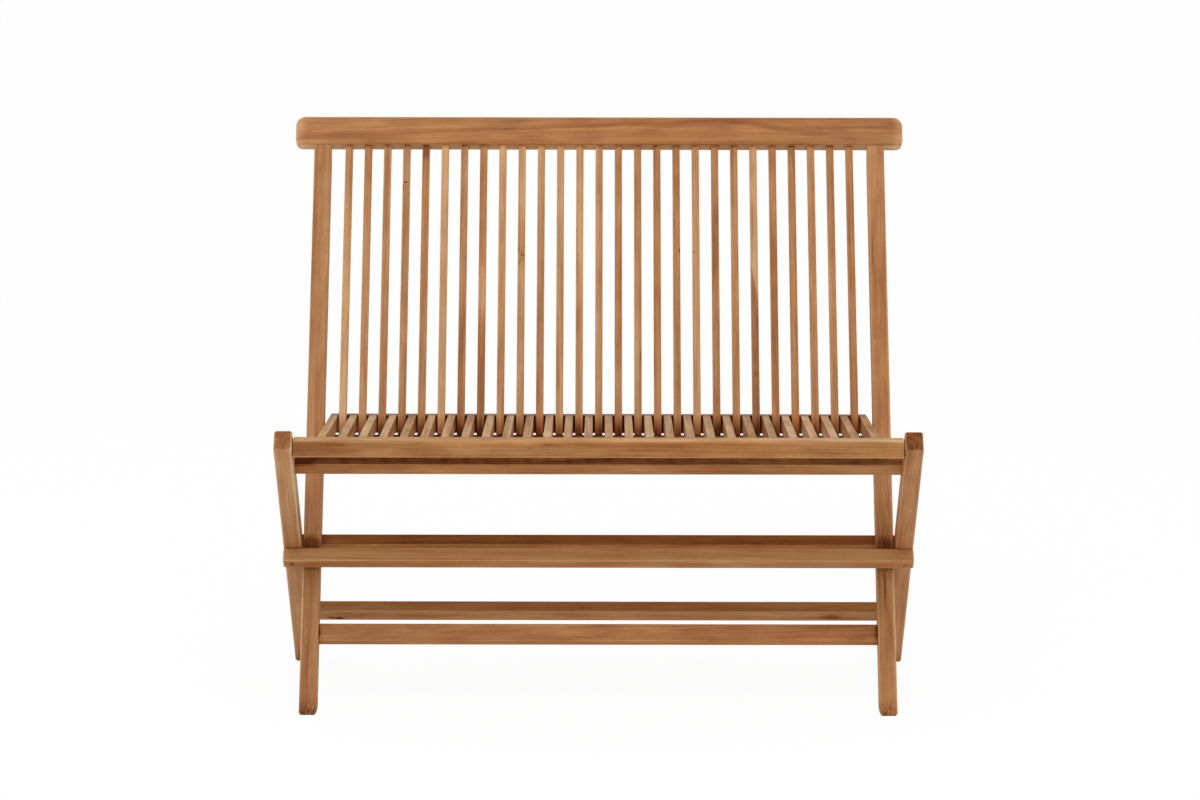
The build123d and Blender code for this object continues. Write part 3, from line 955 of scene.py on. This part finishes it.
def young_side(stick):
    """A paler side on some slats, with a soft line down the slat."""
    noise = fibre_noise(stick["tree"], stick["place"], young_size)
    return stretch(stick["tree"], noise, *young_cut, *young_depths)


print("a slat's redness swings by", red_swing)

# %% [markdown]
# ## Back slats
# Each slat passes gradually from its foot's tone to its top's. In one of them the line between old and
# young wood runs slantwise across the strip, so that slat changes suddenly. Where the slats pass through
# the seat and where they go into the top rail they are toned dark as painted shade. Their sides are toned
# paler as painted light. A few have knots, one has a ring-shaped one, and some have a paler stretch.

# %% Helper for the back slats' tone
foot_until, top_from = 0.25, 0.62
split_slat = 21
split_place = (0.2440, 0.4400)
split_slope = 5.6
split_soft = 0.004


def back_slat_tone(stick, number):
    """The tone of a back slat, from its foot to its top."""
    tree = stick["tree"]
    split_across, split_along = split_place
    gradual = stretch(tree, stick["along"], foot_until, top_from)
    beside = times(tree, calc(tree, "SUBTRACT", stick["across"], split_across), split_slope)
    past_split = calc(tree, "SUBTRACT", calc(tree, "ADD", stick["along"], beside), split_along)
    sudden = stretch(tree, past_split, -split_soft, split_soft)
    top_share = mix(tree, calc(tree, "COMPARE", number, split_slat), gradual, sudden)
    foot_tone = pick_tone(tree, number, back_tones_foot)
    return mix(tree, top_share, foot_tone, pick_tone(tree, number, back_tones_top))


print("slat", split_slat + 1, "changes tone suddenly")

# %% Dress the back slats
back_boards_from = 100.0
# painted shade where the slats pass through the seat and where they go into the top rail
shade_from, shade_to, shade_depth = 0.2180, 0.1890, 0.46
top_shade_from, top_shade_to, top_shade_depth = 0.6690, 0.6755, 0.34
back_slat_marks = [
    (-0.3062, 0.6113, 0.0034, 0.0012, 0.40),
    (-0.3094, 0.6020, 0.0009, 0.0080, 0.26),
    (-0.2745, 0.6640, 0.0075, 0.0130, 0.20),
    (-0.1201, 0.4859, 0.0030, 0.0012, 0.30),
    (-0.1272, 0.4845, 0.0080, 0.0140, 0.26),
    (-0.1272, 0.4845, 0.0052, 0.0090, -0.26),
    (0.1266, 0.4940, 0.0014, 0.0034, 0.34),
    (0.1485, 0.4915, 0.0026, 0.0013, 0.32),
    (0.2444, 0.2851, 0.0040, 0.0030, 0.14),
    (0.0660, 0.3149, 0.0012, 0.0100, 0.30),
    (-0.1830, 0.4250, 0.0070, 0.0450, -0.34),
    (-0.3965, 0.4250, 0.0070, 0.0550, -0.13),
    (-0.2135, 0.4250, 0.0070, 0.0500, -0.12),
]

stick = open_board("teak_back_slats", "back")
tree = stick["tree"]
number = count_slats(stick, back_tones_top)
board = calc(tree, "ADD", number, back_boards_from)
# painted light: the slats' sides are toned paler, and their sheen is dull
sheen, paler_face = dull_painted_sides(stick)
tone = total(tree, back_slat_tone(stick, number), young_side(stick), paler_face)
shade = stretch(tree, stick["along"], shade_from, shade_to, 0.0, shade_depth)
top_shade = stretch(tree, stick["along"], top_shade_from, top_shade_to, 0.0, top_shade_depth)
swerve, dark = add_marks(stick, back_slat_marks)
marks = (swerve, total(tree, dark, shade, top_shade))
back_teak = oil(stick, board, tone, pick_red(tree, number, tone), marks, sheen)
back_slats = [name for name in nodes if name.startswith("back_slat")]
for name in back_slats:
    dress(name, back_teak)
print("dressed", len(back_slats), "back slat nodes")

# %% [markdown]
# ## Seat slats
# The seat's tops are toned pale straw, a painted sheen for the white shine of tops seen at a flat angle,
# and are dry, with hardly any sheen of their own: seen at a flat angle, as here, a shiny top would mirror
# the white room and turn the wood mauve. The slats' sides are toned paler as painted light.

# %% Dress the seat slats
seat_boards_from = 200.0
seat_deeper = 0.08
# painted light: the slats' sides are toned paler than their tops
flank_painted_light = -0.17
seat_red_share = 0.15
seat_slat_marks = [(-0.2884, 0.1088, 0.0016, 0.0040, 0.30)]

stick = open_board("teak_seat_slats", "seat")
tree = stick["tree"]
number = count_slats(stick, seat_tones)
board = calc(tree, "ADD", number, seat_boards_from)
flank = on_face(stick, "sideways", seat_deeper, seat_deeper + flank_painted_light)
tone = total(tree, pick_tone(tree, number, seat_tones), young_side(stick), flank)
red = times(tree, pick_red(tree, number, tone), seat_red_share)
# painted sheen: the slats' tops are toned towards straw
red = calc(tree, "ADD", red, on_face(stick, "sideways", painted_sheen_red, 0.0))
sheen = on_face(stick, "sideways", dull_sheen, oiled_sheen)
stick["dryness"] = on_face(stick, "sideways", 1.0, 0.0)
seat_teak = oil(stick, board, tone, red, add_marks(stick, seat_slat_marks), sheen)
seat_slats = [name for name in nodes if name.startswith("seat_slats")]
for name in seat_slats:
    dress(name, seat_teak)
print("dressed", len(seat_slats), "seat slat nodes")

# %% [markdown]
# ## Brass
# Bolts, pins, washers and sleeve nuts are brass, because teak stains steel. They have been outdoors, so
# the polish is gone and a brown film has gathered in patches. One noise drives both the colour and the
# gloss of the film, so that dark patches are also dull ones.

# %% Dress the fittings
film_scale, film_detail = 260.0, 4.0
film_stops = [(0.30, srgb(158, 120, 64)), (0.65, srgb(92, 66, 38))]
film_thin, film_thick = 0.3, 0.7
bare_roughness, filmed_roughness = 0.35, 0.6
fittings = ["pivot_bolts", "pivot_washers", "pivot_nuts", "seat_pins", "seat_washers"]

brass = new_material("brass")
tree = brass.node_tree
spot = tree.nodes.new("ShaderNodeTexCoord").outputs["Object"]
film = step(tree, "TexNoise", {"Vector": spot, "Scale": film_scale, "Detail": film_detail}).outputs[0]
finish = {
    "Base Color": ramp(tree, film, film_stops),
    "Roughness": stretch(tree, film, film_thin, film_thick, bare_roughness, filmed_roughness),
    "Metallic": 1.0,
}
show(tree, step(tree, "BsdfPrincipled", finish))
for name in fittings:
    dress(name, brass)
print("dressed", len(fittings), "fittings")

# %% [markdown]
# ## Light
# The picture was taken in soft light from all round, a little stronger from above. A ring of lamps could
# do this, but a dome gives it with no hard edges. So the world is a pale dome, brighter toward the top,
# and one wide lamp hangs in front, overhead. What the eye sees straight or in a shine is plain white,
# and only light on its way to the wood has the dome's own strength.

# %% Set the dome
white = (1, 1, 1, 1)
horizon_strength = 0.25
zenith_strength = 1.05


def seen_directly(tree):
    """One for what the eye sees straight or in a shine, and nought for light on its way to a surface."""
    ray = tree.nodes.new("ShaderNodeLightPath").outputs
    seen = calc(tree, "MAXIMUM", ray["Is Camera Ray"], ray["Is Glossy Ray"])
    return calc(tree, "MAXIMUM", seen, ray["Is Transmission Ray"])


scene = bpy.context.scene
scene.view_settings.view_transform = "Standard"
world = bpy.data.worlds.new("dome")
scene.world = world
world.use_nodes = True
tree = world.node_tree
tree.nodes.clear()
toward = axes_of(tree, tree.nodes.new("ShaderNodeTexCoord").outputs["Generated"])
height = stretch(tree, toward["Z"], 0.0, 1.0, horizon_strength, zenith_strength)
strength = mix(tree, seen_directly(tree), height, 1.0)
dome = step(tree, "Background", {"Color": white, "Strength": strength})
tree.links.new(dome.outputs[0], tree.nodes.new("ShaderNodeOutputWorld").inputs["Surface"])
print("dome from", horizon_strength, "to", zenith_strength)

# %% Hang the lamp
lamp_wide, lamp_deep = 3.2, 2.0
lamp_power = 52
lamp_place = Vector((-0.4, -2.2, 3.6))
lamp_aim = Vector((0, 0, 0.4))

lamp = bpy.data.objects.new("overhead_lamp", bpy.data.lights.new("overhead_lamp", "AREA"))
scene.collection.objects.link(lamp)
lamp.data.shape = "RECTANGLE"
lamp.data.size = lamp_wide
lamp.data.size_y = lamp_deep
lamp.data.energy = lamp_power
lamp.location = lamp_place
lamp.rotation_euler = (lamp_aim - lamp_place).to_track_quat("-Z", "Y").to_euler()
print("lamp of", lamp.data.energy, "W")

# %% [markdown]
# ## Floor
# The bench stands on a white sweep. A sheet of white paint would come out grey where the bench shades it,
# so the floor is paint and a plain white glow, mixed. To the camera it is nearly all glow, with a
# little of the paint's shading left so that the feet keep a shadow.

# %% Lay the floor
floor_half = 30.0
floor_form = bmesh.new()
bmesh.ops.create_grid(floor_form, x_segments=1, y_segments=1, size=floor_half)
floor_mesh = bpy.data.meshes.new("floor")
floor_form.to_mesh(floor_mesh)
floor_form.free()
floor = bpy.data.objects.new("floor", floor_mesh)
scene.collection.objects.link(floor)
print("floor", 2 * floor_half, "m square")

# %% Paint the floor
plain_share = 0.94
glow_share = 0.5
paint_white = (0.85, 0.85, 0.85, 1)

paint = new_material("white_floor")
tree = paint.node_tree
seen = seen_directly(tree)
coat = step(tree, "BsdfDiffuse", {"Color": blend_colours(tree, seen, paint_white, white)})
plain = step(tree, "Emission", {"Color": white, "Strength": 1.0})
mixed = step(tree, "MixShader", {"Fac": stretch(tree, seen, 0.0, 1.0, glow_share, plain_share)})
tree.links.new(coat.outputs[0], mixed.inputs[1])
tree.links.new(plain.outputs[0], mixed.inputs[2])
show(tree, mixed)
floor_mesh.materials.append(paint)
print("floor seen as", plain_share, "plain white")
